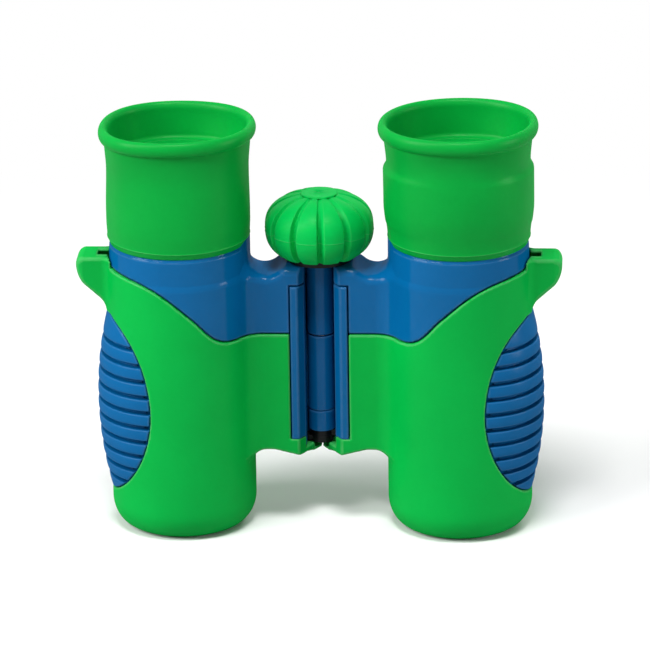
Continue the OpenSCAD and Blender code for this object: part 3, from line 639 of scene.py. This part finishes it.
def plastic(name, colour, rough, rough_spread, grain, grain_depth, edge_light, specular,
            coat=0.0, coat_rough=0.2, soft=0.0):
    """Moulded plastic or rubber: cloudy colour, fine grain, pale edges that are partly wear and
    partly a painted highlight, uneven gloss.
    """
    material, nodes, links, shader, coords = new_material(name)

    def ramped(source, *stops):
        return ramp(nodes, links, source, stops)

    clouds = noise(nodes, links, coords, CLOUD_SCALE, 3.0)
    base = ramped(clouds, (0.3, shade(colour, 1 - CLOUD)), (0.7, shade(colour, 1 + CLOUD)))
    speck_mask = ramped(noise(nodes, links, coords, SPECK_SCALE, 2.0), (0.35, 0.0), (0.75, 1.0))
    specks = mix(nodes, links, speck_mask, shade(colour, 1 - SPECK), shade(colour, 1 + SPECK))
    speckled = mix(nodes, links, MOTTLE, base, specks)
    # Pale edges where the surface bends outward, broken up by noise: partly wear, partly a painted
    # highlight on rounded edges.
    edge = nodes.new("ShaderNodeAttribute")
    edge.attribute_name = "bend"
    edge_mask = ramped(edge.outputs["Fac"], (0.35, 0.0), (1.0, 1.0))
    scuffs_and_highlight = noise(nodes, links, coords, SCUFF_AND_HIGHLIGHT_SCALE, 5.0, 0.7)
    scuff_and_highlight_mask = ramped(scuffs_and_highlight, (0.3, 0.35), (0.65, 1.0))
    both = worked_out(nodes, links, "MULTIPLY", edge_mask, scuff_and_highlight_mask)
    amount = worked_out(nodes, links, "MULTIPLY", both, edge_light)
    pale = tuple((1 - EDGE_WEAR_AND_HIGHLIGHT) * c + EDGE_WEAR_AND_HIGHLIGHT * (EDGE_WEAR_AND_HIGHLIGHT_GREY + EDGE_WEAR_AND_HIGHLIGHT_TINT * c) for c in colour) + (1.0,)
    links.new(mix(nodes, links, amount, speckled, pale), shader.inputs["Base Color"])
    gloss = ramped(noise(nodes, links, coords, GLOSS_SCALE, 4.0),
                   (0.3, rough - rough_spread), (0.7, rough + rough_spread))
    facing = nodes.new("ShaderNodeLayerWeight")
    grazing = ramped(facing.outputs["Facing"], (0.55, 0.0), (0.95, 1.0))
    dull = mix(nodes, links, grazing, gloss, (GRAZING_ROUGH,) * 3 + (1.0,))
    links.new(dull, shader.inputs["Roughness"])
    bump = nodes.new("ShaderNodeBump")
    bump.inputs["Strength"].default_value = BUMP_STRENGTH
    bump.inputs["Distance"].default_value = grain_depth * MM
    links.new(noise(nodes, links, coords, grain, 3.0, 0.6), bump.inputs["Height"])
    links.new(bump.outputs["Normal"], shader.inputs["Normal"])
    links.new(bump.outputs["Normal"], shader.inputs["Coat Normal"])
    shader.inputs["Specular IOR Level"].default_value = specular
    shader.inputs["Coat Weight"].default_value = coat
    shader.inputs["Coat Roughness"].default_value = coat_rough
    shader.inputs["Coat IOR"].default_value = COAT_IOR
    if soft:
        shader.inputs["Subsurface Weight"].default_value = soft
        shader.inputs["Subsurface Radius"].default_value = SOFT_RADIUS
        shader.inputs["Subsurface Scale"].default_value = SOFT_SCALE
    return material


def glass_material():
    """Coated lens glass with a faint uneven tint."""
    material, nodes, links, shader, coords = new_material("coated_glass")
    tint = ramp(nodes, links, noise(nodes, links, coords, 60.0),
                [(0.3, (0.93, 0.98, 0.96, 1)), (0.7, (1, 1, 1, 1))])
    links.new(tint, shader.inputs["Base Color"])
    smears = ramp(nodes, links, noise(nodes, links, coords, 200.0), [(0.4, 0.02), (0.8, 0.06)])
    links.new(smears, shader.inputs["Roughness"])
    shader.inputs["Transmission Weight"].default_value = 1.0
    shader.inputs["IOR"].default_value = 1.5
    shader.inputs["Coat Weight"].default_value = 0.6
    shader.inputs["Coat Tint"].default_value = (0.55, 0.4, 0.8, 1)
    return material


def steel_material():
    """Turned steel with fine rings along its axis."""
    material, nodes, links, shader, coords = new_material("turned_steel")
    rings = nodes.new("ShaderNodeTexWave")
    rings.bands_direction = "Z"
    rings.inputs["Scale"].default_value = 900.0
    rings.inputs["Distortion"].default_value = 1.5
    links.new(coords, rings.inputs["Vector"])
    stops = {"Base Color": [(0.0, (0.5, 0.5, 0.52, 1)), (1.0, (0.66, 0.66, 0.67, 1))],
             "Roughness": [(0.0, 0.25), (1.0, 0.4)]}
    for socket, values in stops.items():
        links.new(ramp(nodes, links, rings.outputs["Fac"], values), shader.inputs[socket])
    shader.inputs["Metallic"].default_value = 1.0
    return material


blue = plastic("blue_moulding", (0.001, 0.110, 0.30), rough=0.18, rough_spread=0.03,
               grain=700.0, grain_depth=0.02, edge_light=0.15, specular=0.0,
               coat=0.08, coat_rough=0.14)
pad_blue = plastic("blue_grip", (0.001, 0.110, 0.30), rough=0.26, rough_spread=0.04,
                   grain=700.0, grain_depth=0.03, edge_light=0.12, specular=0.0,
                   coat=0.08, coat_rough=0.28)
green = plastic("green_armour_skin", (0.001, 0.40, 0.055), rough=0.32, rough_spread=0.05,
                grain=800.0, grain_depth=0.03, edge_light=0.35, specular=0.0,
                coat=0.06, coat_rough=0.36, soft=0.1)
rubber = plastic("green_soft_rubber", (0.001, 0.325, 0.04), rough=0.46, rough_spread=0.06,
                 grain=900.0, grain_depth=0.03, edge_light=0.3, specular=0.03,
                 coat=0.05, coat_rough=0.34, soft=0.12)
# The knob's rubber is lighter than the eyecups': partly its own tone, partly painted light from
# above.
knob_rubber_toned_and_lit = plastic("green_knob_rubber", (0.001, 0.46, 0.075), rough=0.42, rough_spread=0.06,
                      grain=900.0, grain_depth=0.03, edge_light=0.3, specular=0.08, soft=0.12)
black = plastic("black_moulding", (0.006, 0.006, 0.007), rough=0.38, rough_spread=0.08,
                grain=600.0, grain_depth=0.04, edge_light=0.25, specular=0.12)
glass = glass_material()
steel = steel_material()


# Shells of both halves: the room to search for each surface and the size of its cells

def both_halves(name, field, low, high, step, material):
    made = surface(field, low, high, step * COARSE)
    for side, data in (("right", made), ("left", mirrored(*made))):
        piece = mesh_piece(f"{name}_{side}_shell", *data)
        dress(piece, f"{side}_half", f"{name}_{side}", material)


both_halves("armour", armour, (-1, -20, -1), (AXIS_X + LUG_END + 1, 20, LUG_TOP + 2), 0.42,
            green)
both_halves("housing", housing, (-1, -20, -1), (AXIS_X + 20, 20, SHOULDER_Z + 2), 0.45,
            blue)
both_halves("grip_pad", grip_pad, (AXIS_X, -17, 3), (AXIS_X + 24, 17, 64), 0.26,
            pad_blue)

for side, rows, others in (("right", RIGHT_ROWS, LEFT_ROWS), ("left", LEFT_ROWS, RIGHT_ROWS)):
    made = surface(hinge_frame(rows, others), (-5, -8, 18), (9, 10, 71), 0.24 * COARSE)
    if side == "left":
        made = mirrored(*made)
    piece = mesh_piece(f"hinge_frame_{side}_shell", *made)
    dress(piece, f"{side}_half", f"hinge_frame_{side}", blue)


# Eyecups: a profile turned round the barrel's axis, then pulled out of true as soft rubber is

CUP_H = CUP_HIGH[2] - SHOULDER_Z
CUP_BASE, CUP_FLOOR = CUP_H - 10, CUP_H - 9.2
CUP_HOLE_R, SLEEVE_R = 10.4, 15.75
FOOT_R, FOOT_SPREAD, FOOT_IN = 17.25, 0.55, 0.25
# SEAM_PALE is the width of a painted highlight along the seam.
SEAM_H, SEAM_OUT, SEAM_TALL, SEAM_PALE = 1.5, 0.09, 0.12, 0.1
BEAD_WIDE, BEAD_TALL, BEAD_OUT = 1.2, 1.85, 1.42
DRAFT, FLOOR_R, RIDGE_END, HOLE_EDGE = 0.75, 1.2, 2.6, 0.3
CUP_COUNT = int(192 / COARSE)

# Ramps of the cups' outsides: how far out, from which height and over what run
LEFT_RAMPS = ((0.16, SEAM_H, 4), (-0.16, 8, 10), (0.5, 19, 8))
RIGHT_SWELL, FRONT_SWELL, SWELL_RUN = 0.95, 0.8, 9
DENT, DENT_H, DENT_DROP, DENT_RUN = 0.14, 5.0, 0.5, 6
RIGHT_WAIST, FRONT_WAIST, WAIST_OUT = (18.4, 1.7), (12, 12), 0.12
FLARE, FLARE_H, FLARE_RUN = 0.55, 20.5, 7

# Ridge on the cup's floor: steps inward, heights and the painted highlight on its edge
RIDGE = ((1.9, 0.0, 0.0), (2.0, 0.1, 1.2), (2.12, 0.0, 0.0))

# Pulls on each cup: what is pulled, how far, how many times round, and the angle of the first
LEFT_PULLS = (("radius", 0.15, 2, 90), ("radius", -0.2, 3, 150), ("radius", 0.28, 4, 45),
              ("height", 0.3, 1, 60))
RIGHT_PULLS = (("radius", 0.2, 2, 75), ("radius", 0.15, 3, 20), ("radius", 0.15, 4, 40),
               ("height", 0.25, 1, 70), ("height", 0.8, 0, 0))


def ease(t):
    u = np.clip(t, 0, 1)
    return u * u * (3 - 2 * u)


def foot(h):
    """Chamfered foot of an eyecup with the mould's seam on its edge."""
    seam = SEAM_OUT * np.exp(-((h - SEAM_H) / SEAM_TALL) ** 2)
    return FOOT_R + FOOT_SPREAD * np.minimum(h / SEAM_H, 1) + seam


def left_outside(h):
    radius = foot(h)
    for out, start, run in LEFT_RAMPS:
        radius = radius + out * ease((h - start) / run)
    return radius


def right_cup(h, swell, waist_start, waist_run):
    """Radius of the right eyecup: a swell that ends at its waist, then a flare."""
    waist = 1 - ease((h - waist_start) / waist_run)
    flare = FLARE * ease((h - FLARE_H) / FLARE_RUN)
    return foot(h) + swell * waist + WAIST_OUT * (1 - waist) + flare


def right_outside(h):
    dent = ease((h - DENT_H) / DENT_DROP) - ease((h - DENT_H) / DENT_RUN)
    swell = RIGHT_SWELL * ease((h - SEAM_H) / SWELL_RUN) + DENT * dent
    return right_cup(h, swell, *RIGHT_WAIST)


def right_front(h):
    """The right eyecup where it faces front and back, without the steps of its sides."""
    return right_cup(h, FRONT_SWELL * ease((h - SEAM_H) / SWELL_RUN), *FRONT_WAIST)


def cup_profile(outside):
    """Closed profile of an eyecup from its foot over the bead to its sleeve.

    Each point is its radius, its height and how pale the edge there is, a painted highlight along
    the seam and on the floor's ridge.
    """
    neck = CUP_H - 2 * BEAD_TALL
    bead = CUP_H - BEAD_TALL
    middle = float(outside(neck)) + BEAD_OUT - BEAD_WIDE
    inner = middle - BEAD_WIDE
    heights = np.concatenate([np.linspace(0, 1.2, 5), np.linspace(1.3, 1.7, 9),
                              np.linspace(1.9, neck, 60)])
    points = [(FOOT_R - FOOT_IN, 0.0, 0.0)]
    for h in heights:
        # Painted highlight along the mould's seam.
        points.append((float(outside(h)), h, 1.2 * math.exp(-((h - SEAM_H) / SEAM_PALE) ** 2)))
    for turn in np.linspace(-100, 180, 30):
        a = math.radians(turn)
        points.append((middle + BEAD_WIDE * math.cos(a), bead + BEAD_TALL * math.sin(a), 0.0))
    depth = bead - CUP_FLOOR
    for t in np.linspace(0.08, 1, 12):
        points.append((inner - DRAFT * t ** 1.5, bead - t * (depth - FLOOR_R), 0.0))
    low = inner - DRAFT
    for a in np.linspace(0.2, math.pi / 2, 7):
        corner_r = low - FLOOR_R * (1 - math.cos(a))
        points.append((corner_r, CUP_FLOOR + FLOOR_R * (1 - math.sin(a)), 0.0))
    points += [(low - inward, CUP_FLOOR + up, pale) for inward, up, pale in RIDGE]
    rest = np.linspace(low - RIDGE_END, CUP_HOLE_R + HOLE_EDGE, 5)
    points += [(r, CUP_FLOOR, 0.0) for r in rest]
    points += [(CUP_HOLE_R, CUP_FLOOR - HOLE_EDGE, 0.0), (CUP_HOLE_R, CUP_BASE, 0.0)]
    points += [(SLEEVE_R, CUP_BASE, 0.0), (SLEEVE_R, CUP_FLOOR / 2, 0.0), (SLEEVE_R, 0.0, 0.0)]
    return points


def ring_quads(rows, count):
    """Quads between closed rings of points, the last ring joined to the first."""
    i, j = np.meshgrid(np.arange(rows), np.arange(count), indexing="ij")
    ni, nj = (i + 1) % rows, (j + 1) % count
    rings = [i * count + j, i * count + nj, ni * count + nj, ni * count + j]
    return np.stack(rings, -1).reshape(-1, 4)


def turned(profile):
    """Rings of a closed profile round the Z axis, with the angle and painted highlight of each
    point.
    """
    angle = np.arange(CUP_COUNT) * 2 * math.pi / CUP_COUNT
    r, h, pale = np.array(profile).T
    x = r[:, None] * np.sin(angle)
    y = -r[:, None] * np.cos(angle)
    z = np.repeat(h[:, None], CUP_COUNT, 1)
    points = np.stack([x, y, z], -1).reshape(-1, 3)
    return points, np.tile(angle, len(profile)), np.repeat(pale, CUP_COUNT)


def eyecup(side, outside, front, pulls):
    profile = cup_profile(outside)
    points, angle, pale = turned(profile)
    ahead = turned(cup_profile(front))[0]
    points += (ahead - points) * np.cos(angle)[:, None] ** 2
    height = points[:, 2] / CUP_H
    soft = ease((height - 0.25) / 0.75)
    for kind, amount, turns, phase in pulls:
        pull = amount * soft * np.cos(turns * (angle - math.radians(phase)))
        if kind == "radius":
            rho = np.hypot(points[:, 0], points[:, 1])
            points[:, :2] *= (1 + pull / rho)[:, None]
        else:
            points[:, 2] += pull
    sign = 1 if side == "right" else -1
    points += np.array([AXIS_X * sign, 0, SHOULDER_Z])
    quads = ring_quads(len(profile), CUP_COUNT)
    # The painted highlight goes to the rubber as the bend of the surface.
    piece = mesh_piece(f"eyecup_{side}_rubber", points, quads, bend=pale)
    dress(piece, f"{side}_half", f"eyecup_{side}", rubber)


eyecup("left", left_outside, left_outside, LEFT_PULLS)
eyecup("right", right_outside, right_front, RIGHT_PULLS)


# Focus knob: a squashed ball whose flutes run from its flat top to its foot

KNOB_MID, KNOB_R = 77.2, 13.6
KNOB_UP, KNOB_DOWN, KNOB_POWER = 8.75, 9.3, 2.3
KNOB_TURN = math.radians(3.0)
FLUTES, FLUTE_DEPTH = 12, 1.6
FLUTE_LEFT, FLUTE_RIGHT = 0.6, 1.25
LEFT_POWER, RIGHT_POWER = 2.5, 1.4
# FLUTE_PALE paints a highlight along the flutes' edges; RING_PALE makes a paler line on the ring.
LOBE_SWELL, FLUTE_PALE, RING_PALE = 0.16, 0.55, 1.3
POST_R, POST_TOP = 5.05, 81.65
DISC_R = 4.6
RING_DROP, RING_OUT, RING_WIDE, RING_NEAR = 0.5, 0.07, 0.009, 0.02

# Raised disc on the knob's top: radii, and heights above the end of the flutes
DISC = ((DISC_R + 0.04, 0.12), (DISC_R - 0.08, 0.32), (DISC_R - 0.35, 0.42),
        (DISC_R * 0.6, 0.44), (0.02, 0.45))


def flute_columns():
    """Places round one flute: steps across the groove from -1 to 1, then shares of the lobe."""
    groove = np.array([-1.0, -0.96, -0.85, -0.65, -0.4, -0.15, 0.1, 0.35, 0.6, 0.8, 0.93, 1.0])
    lobe = np.array([0.04, 0.1, 0.2, 0.32, 0.44, 0.56, 0.68, 0.8, 0.9, 0.96])
    return (groove[::2], lobe[::2]) if COARSE > 1 else (groove, lobe)


def knob_angle(drop):
    """Angle on the knob's profile at a distance below its middle."""
    return -math.asin((drop / KNOB_DOWN) ** (KNOB_POWER / 2))


def level_ring(radius, angle, z):
    return np.stack([radius * np.sin(angle), -radius * np.cos(angle), np.full(len(angle), z)], 1)


def knob():
    groove, lobe = flute_columns()
    wall = np.abs(groove)
    walls = np.where(groove < 0, 1 - wall ** LEFT_POWER, 1 - wall ** RIGHT_POWER)
    # Painted highlight on the rims of the flutes and where the lobes start.
    edges = np.concatenate([FLUTE_PALE * (wall > 0.95), FLUTE_PALE * (lobe < 0.05)])
    low = KNOB_LOW[2] - KNOB_MID
    pitch = 2 * math.pi / FLUTES
    ring = knob_angle(RING_DROP)
    near = ring + np.linspace(-RING_NEAR, RING_NEAR, 5)
    last = math.acos((DISC_R / KNOB_R) ** (KNOB_POWER / 2))
    steps = [np.linspace(knob_angle(-low), 0, 34), near, np.linspace(0, last, 56)]
    rows, pale = [], []
    for a in np.unique(np.concatenate(steps)):
        r = KNOB_R * math.cos(a) ** (2 / KNOB_POWER)
        half = KNOB_UP if a > 0 else KNOB_DOWN
        z = math.copysign(half * abs(math.sin(a)) ** (2 / KNOB_POWER), a)
        on_ring = math.exp(-((a - ring) / RING_WIDE) ** 2)
        size = 0.5 + 0.5 * r / KNOB_R
        left, right = FLUTE_LEFT * size / r, FLUTE_RIGHT * size / r
        across = np.where(groove < 0, groove * left, groove * right)
        between = right + lobe * (pitch - left - right)
        runs_out = float(ease((r - DISC_R + 0.1) / 0.5))
        depth = FLUTE_DEPTH * size * walls * runs_out
        swell = LOBE_SWELL * (1 - (2 * lobe - 1) ** 2) * runs_out
        turn = np.concatenate([across, between])
        radius = r + np.concatenate([-depth, swell]) + RING_OUT * on_ring
        angle = (turn[None, :] + np.arange(FLUTES)[:, None] * pitch).ravel() + KNOB_TURN
        rows.append(level_ring(np.tile(radius, FLUTES), angle, z))
        # The painted highlight and the ring's paler line go to the rubber as the bend.
        pale.append(np.tile(np.maximum(edges * runs_out, RING_PALE * on_ring), FLUTES))
    top = rows[-1][0, 2]
    count = len(angle)
    post = POST_TOP - KNOB_MID
    closing = [(r, top + up) for r, up in DISC] + [(0.05, post), (POST_R, post), (POST_R, low)]
    for r, z in closing:
        rows.append(level_ring(r, angle, z))
        pale.append(np.zeros(count))
    points = np.concatenate(rows) + np.array([0, HINGE_Y, KNOB_MID])
    quads = ring_quads(len(rows), count)
    piece = mesh_piece("focus_knob_rubber", points, quads, bend=np.concatenate(pale))
    dress(piece, "focus_wheel", "focus_knob", knob_rubber_toned_and_lit)


knob()


# Finishes of the CAD nodes that stay

for name, node in frame["nodes"].items():
    if node.hide_render:
        continue
    is_lens = "lens" in name and "ring" not in name
    is_prism = "prism" in name and "cage" not in name
    if is_lens or is_prism:
        finish = glass
    elif name in ("focus_screw", "hinge_axle"):
        finish = steel
    else:
        finish = black
    node.data.materials.clear()
    node.data.materials.append(finish)


# Stage, lights and camera: lengths in metres, but for the camera's aim, and angles in degrees

CAMERA_AIM = (1.25, 0, 51.9)
CAMERA_DISTANCE, CAMERA_LENS = 1.3, 287.0
CAMERA_ELEVATION, CAMERA_AZIMUTH, CAMERA_ROLL = 19.8, 3.4, -0.85
LIGHT_TARGET = (0, 0, 0.05)
WORLD_LIGHT = 0.18
FLOOR_PALE, FLOOR_SEEN = 0.42, 0.92
FLOOR_HALF, FLOOR_DROP = 3.0, 0.0002
FADE_FROM, FADE_TO = 0.08, 0.3

# Each light's name, place, size and power, and whether gloss shows it
LIGHTS = (
    ("key", (-0.90, -0.40, 0.57), (0.5, 0.5), 9.0, True),
    ("fill", (1.0, -0.18, 0.22), (0.3, 0.5), 3.8, True),
    ("spark", (-0.48, -0.54, 0.78), (0.2, 0.1), 2.6, True),
    ("top", (0.0, -0.38, 1.03), (0.3, 0.25), 7.0, True),
    ("back", (0.45, 0.95, 0.6), (0.6, 0.6), 6.5, False),
)


def facing_from(direction):
    """Turn that points an object's back along a direction."""
    return direction.to_track_quat("Z", "Y").to_matrix().to_4x4()


def camera():
    """Camera at the photograph's angle."""
    aim = Vector(CAMERA_AIM) * MM
    elevation, azimuth = math.radians(CAMERA_ELEVATION), math.radians(CAMERA_AZIMUTH)
    level = math.cos(elevation)
    back = Vector((math.sin(azimuth) * level, -math.cos(azimuth) * level, math.sin(elevation)))
    data = bpy.data.cameras.new("camera")
    data.lens = CAMERA_LENS
    data.sensor_width = 36
    data.clip_start = 0.01
    item = put("camera", data)
    turn = facing_from(back) @ Matrix.Rotation(math.radians(CAMERA_ROLL), 4, "Z")
    item.matrix_world = Matrix.Translation(aim + back * CAMERA_DISTANCE) @ turn
    bpy.context.scene.camera = item


def area_light(name, place, size, power, in_gloss):
    """Soft light that faces the object and is never seen itself."""
    data = bpy.data.lights.new(name, "AREA")
    data.shape = "RECTANGLE"
    data.size, data.size_y = size
    data.energy = power
    item = put(name, data)
    item.visible_camera = False
    item.visible_glossy = in_gloss
    place = Vector(place)
    item.matrix_world = Matrix.Translation(place) @ facing_from(place - Vector(LIGHT_TARGET))


def seen_rays(nodes, links):
    """1 for the rays that show the background: from the camera, in gloss and through glass."""
    rays = nodes.new("ShaderNodeLightPath")
    seen = rays.outputs["Is Camera Ray"]
    for kind in ("Is Glossy Ray", "Is Transmission Ray"):
        seen = worked_out(nodes, links, "MAXIMUM", seen, rays.outputs[kind])
    return seen


def blended(nodes, links, factor, first, second, end):
    """Mixes two shaders by a factor and links them to the end socket."""
    blend = nodes.new("ShaderNodeMixShader")
    fill_sockets(links, (blend.inputs["Fac"], blend.inputs[1], blend.inputs[2]),
                 (factor, first, second))
    links.new(blend.outputs["Shader"], end)


def floor():
    """Pale floor that keeps the object's shadow and fades to white far from it."""
    material, nodes, links, shader, coords = new_material("pale_floor")
    seen = seen_rays(nodes, links)
    pale = mix(nodes, links, seen, (FLOOR_PALE,) * 3 + (1.0,), (FLOOR_SEEN,) * 3 + (1.0,))
    links.new(pale, shader.inputs["Base Color"])
    shader.inputs["Roughness"].default_value = 0.8
    shader.inputs["Specular IOR Level"].default_value = 0.1
    length = nodes.new("ShaderNodeVectorMath")
    length.operation = "LENGTH"
    links.new(coords, length.inputs[0])
    spread = nodes.new("ShaderNodeMapRange")
    spread.inputs["From Min"].default_value = FADE_FROM
    spread.inputs["From Max"].default_value = FADE_TO
    spread.interpolation_type = "SMOOTHSTEP"
    links.new(length.outputs["Value"], spread.inputs["Value"])
    fade = worked_out(nodes, links, "MULTIPLY", spread.outputs["Result"], seen)
    white = nodes.new("ShaderNodeEmission")
    white.inputs["Strength"].default_value = 1.0
    blended(nodes, links, fade, shader.outputs["BSDF"], white.outputs["Emission"],
            nodes["Material Output"].inputs["Surface"])
    mesh = bpy.data.meshes.new("floor")
    corners = [(x * FLOOR_HALF, y * FLOOR_HALF, 0) for x, y in ((-1, -1), (1, -1), (1, 1), (-1, 1))]
    mesh.from_pydata(corners, [], [(0, 1, 2, 3)])
    mesh.materials.append(material)
    item = put("floor", mesh)
    item.location = (0, 0, -FLOOR_DROP)


def world():
    """Soft grey light all round; the camera, gloss and glass see it white."""
    item = bpy.data.worlds.new("studio")
    bpy.context.scene.world = item
    item.use_nodes = True
    nodes, links = item.node_tree.nodes, item.node_tree.links
    light, white = nodes["Background"], nodes.new("ShaderNodeBackground")
    for shader, strength in ((light, WORLD_LIGHT), (white, 1.0)):
        shader.inputs["Color"].default_value = (1, 1, 1, 1)
        shader.inputs["Strength"].default_value = strength
    blended(nodes, links, seen_rays(nodes, links), light.outputs["Background"],
            white.outputs["Background"], nodes["World Output"].inputs["Surface"])


camera()
floor()
world()
for light in LIGHTS:
    area_light(*light)
bpy.context.scene.view_settings.view_transform = "Standard"
